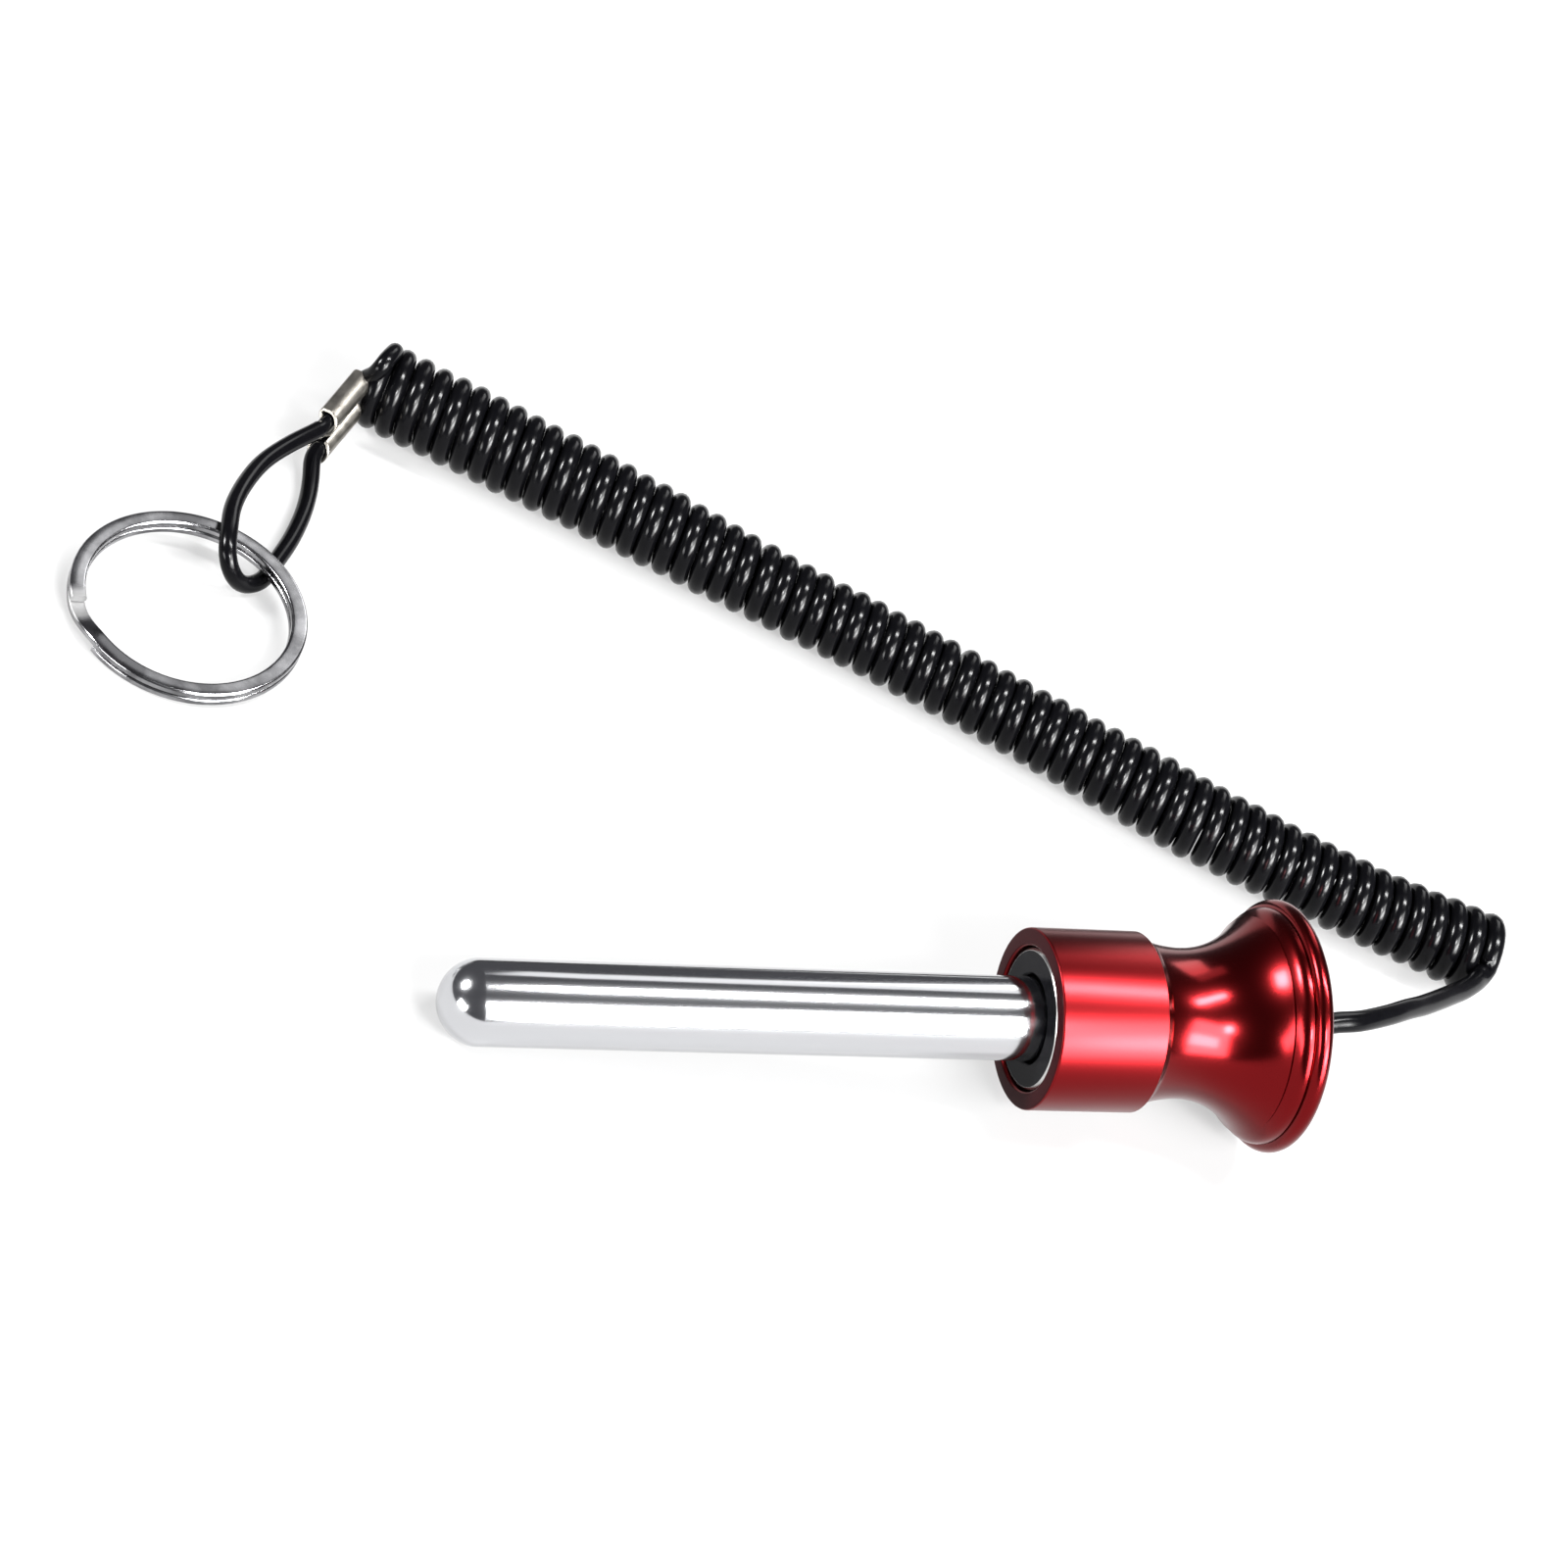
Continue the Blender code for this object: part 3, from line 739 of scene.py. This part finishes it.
def knob_profile():
    """The knob's outside from the back to the front, then its bores from the front to the back."""
    face_radius = collar_radius - collar_edge
    outside = [(face_radius, 0.0)]
    collar_round = round_points((0.0, 0.0), collar_edge, 75, 0, count=4)
    outside += [(face_radius + p.x, collar_edge - p.y) for p in collar_round]
    outside += [(collar_radius, collar_length)]
    step_radius = collar_radius - collar_step
    outside.append((step_radius, collar_length + collar_step))
    outside += list(reversed(waist_points(collar_length + collar_step, step_radius, count=16)[:-1]))
    outside.append((waist_radius, waist_at))
    outside += waist_points(flare_at, flare_radius, count=36)
    for k in range(bead_steps + 1):
        share = k / bead_steps
        radius = flare_radius + (bead_radius - flare_radius) * share + bead_swell * math.sin(math.pi * share)
        way = flare_at + groove_depth + (bead_width - groove_depth) * share
        outside.append((radius - groove_depth, way))
    rim_front = flare_at + bead_width + groove_depth + rim_round
    rim_middle = (rim_radius - rim_round, 0.0)
    front_round = round_points(rim_middle, rim_round, 90, 0, count=12)
    outside += [(p.x, rim_front - p.y) for p in front_round]
    back_round = round_points(rim_middle, rim_round, 0, 90, count=12)
    outside += [(p.x, knob_length - rim_round + p.y) for p in back_round]
    recess = magnet_radius + fit
    recess_floor = magnet_sink + magnet_thickness + fit
    bore = spigot_radius + fit
    bore_end = recess_floor + spigot_length
    pocket = stop_radius + fit
    pocket_floor = bore_end + stop_length + 2 * fit
    hole = cord_radius + fit
    inside = [(recess + recess_chamfer, 0.0), (recess, recess_chamfer), (recess, recess_floor)]
    inside += [(bore, recess_floor), (bore, bore_end), (pocket, bore_end), (pocket, pocket_floor)]
    inside += [(hole, pocket_floor), (hole, knob_length)]
    return outside[::-1] + inside


def red_anodising():
    """Red dyed anodising with painted shade on the front face, dark and not metallic there; satin on the
    collar and mirror bright behind it.
    """
    material, tree, shader = new_finish("red_anodising")
    shader.inputs["Specular IOR Level"].default_value = 0.02
    split = tree.nodes.new("ShaderNodeSeparateXYZ")
    tree.links.new(pin_place(tree), split.inputs["Vector"])
    along = split.outputs["X"]
    face = crease_at.x * math.cos(rest_tilt) + crease_at.z * math.sin(rest_tilt) + bar_reach
    collar_end = face + collar_length
    # Painted shade: the front face is painted dark red and not metallic; this mask is 0 on the face and 1 on
    # the red
    off_painted_shade_face = ranged(tree, along, 0.0, 1.0, start=face + painted_shade_face_end, end=face + red_start)
    tree.links.new(off_painted_shade_face, shader.inputs["Metallic"])
    red = shaded(tree, off_painted_shade_face, (0.016, 0.0022, 0.0030), (0.14, 0.0066, 0.0080))
    tree.links.new(red, shader.inputs["Base Color"])
    polish = ranged(tree, along, 0.28, 0.19, start=collar_end, end=collar_end + polish_run)
    tree.links.new(polish, shader.inputs["Roughness"])
    return material


knob_body = added("knob_body", turned_mesh("knob_body", knob_profile(), closed=True), red_anodising())
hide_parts("knob")
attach(knob_body, "pin")


# The stop: a plain zinc sleeve crimped on the cord's end and shut in the knob's pocket, where it keeps the
# cord from being pulled out. It is out of sight, so its plain solid stays and is given a dull cast finish.
def dull_zinc():
    """Dull cast zinc."""
    material, tree, shader = new_finish("dull_zinc")
    shader.inputs["Metallic"].default_value = 1.0
    shader.inputs["Base Color"].default_value = (0.50, 0.50, 0.52, 1.0)
    grain = tree.nodes.new("ShaderNodeTexNoise")
    grain.inputs["Scale"].default_value = 800.0
    tree.links.new(ranged(tree, grain.outputs["Fac"], 0.4, 0.6), shader.inputs["Roughness"])
    return material


for slot in frame["nodes"]["cord_stop"].material_slots:
    slot.material = dull_zinc()


# The table: a plain pale sheet that keeps the soft shadows near the part and runs out to plain white. Part
# of its white is its own, for the view and for what metal shows of it, and the rest comes from the lamps.
sheet_half = 3.0
part_middle = (0.01, 0.05, 0.0)
lit_reach = 0.16
plain_from = 0.60


def table_white():
    """Matt white that is lit near the part and plain far from it."""
    material, tree, shader = new_finish("table_white")
    shader.inputs["Roughness"].default_value = 1.0
    shader.inputs["Specular IOR Level"].default_value = 0.0
    from_part = vector_step(tree, "DISTANCE", table_place(tree), part_middle)
    far = ranged(tree, from_part, 0.0, 1.0, start=lit_reach, end=plain_from)
    far.node.interpolation_type = "SMOOTHSTEP"
    tree.links.new(shaded(tree, far, (0.105, 0.105, 0.105), (0.03, 0.03, 0.03)), shader.inputs["Base Color"])
    ray = tree.nodes.new("ShaderNodeLightPath")
    glow = ray.outputs["Is Camera Ray"]
    for operation, value in (
        ("MAXIMUM", ray.outputs["Is Glossy Ray"]),
        ("MAXIMUM", ray.outputs["Is Transmission Ray"]),
        ("MULTIPLY", ranged(tree, far, 0.52, 0.95)),
    ):
        node = tree.nodes.new("ShaderNodeMath")
        node.operation = operation
        tree.links.new(glow, node.inputs[0])
        tree.links.new(value, node.inputs[1])
        glow = node.outputs["Value"]
    shader.inputs["Emission Color"].default_value = (1.0, 1.0, 1.0, 1.0)
    tree.links.new(glow, shader.inputs["Emission Strength"])
    return material


sheet_mesh = bpy.data.meshes.new("table_sheet")
sheet_corners = [(x * sheet_half, y * sheet_half, 0) for x, y in ((-1, -1), (1, -1), (1, 1), (-1, 1))]
sheet_mesh.from_pydata(sheet_corners, [], [(0, 1, 2, 3)])
table_sheet = added("table_sheet", sheet_mesh, table_white())


# The lamps: soft boxes round the table in a dark room, so that the metal and the cord show each of them
# against black. The long one overhead draws the bar's bright line, and the small ones make the bright spots
# on the knob.
lamp_aim = Vector((0.02, 0.02, 0.0))


def soft_box(name, place, size, brightness):
    """A rectangular soft box that faces the part and looks equally bright whatever its size."""
    data = bpy.data.lights.new(name, "AREA")
    data.shape = "RECTANGLE"
    data.size = size[0]
    data.size_y = size[1]
    data.energy = 4 * size[0] * size[1] * brightness
    lamp = bpy.data.objects.new(name, data)
    bpy.context.scene.collection.objects.link(lamp)
    lamp.location = place
    lamp.rotation_euler = (lamp_aim - Vector(place)).to_track_quat("-Z", "Y").to_euler()
    lamp.visible_camera = False


world = bpy.data.worlds.new("dark_room")
bpy.context.scene.world = world
world.use_nodes = True
world.node_tree.nodes["Background"].inputs["Color"].default_value = (0.11, 0.11, 0.12, 1.0)
soft_box("overhead_box", (0.26, -0.04, 0.80), (0.10, 0.46), 110.0)
soft_box("front_box", (0.30, -0.60, 0.34), (0.56, 0.60), 24.0)
soft_box("front_glow", (0.34, -0.55, 0.28), (0.34, 0.16), 50.0)
soft_box("front_lamp", (0.03, -0.55, 0.52), (0.11, 0.11), 130.0)
soft_box("left_lamp", (-0.56, 0.20, 0.39), (0.16, 0.16), 110.0)
soft_box("left_card", (-0.65, -0.25, 0.10), (0.30, 0.14), 22.0)
soft_box("back_card", (0.27, 0.55, 0.72), (0.45, 0.24), 1.2)
soft_box("side_card", (0.43, 0.62, 0.47), (0.26, 0.40), 3.5)
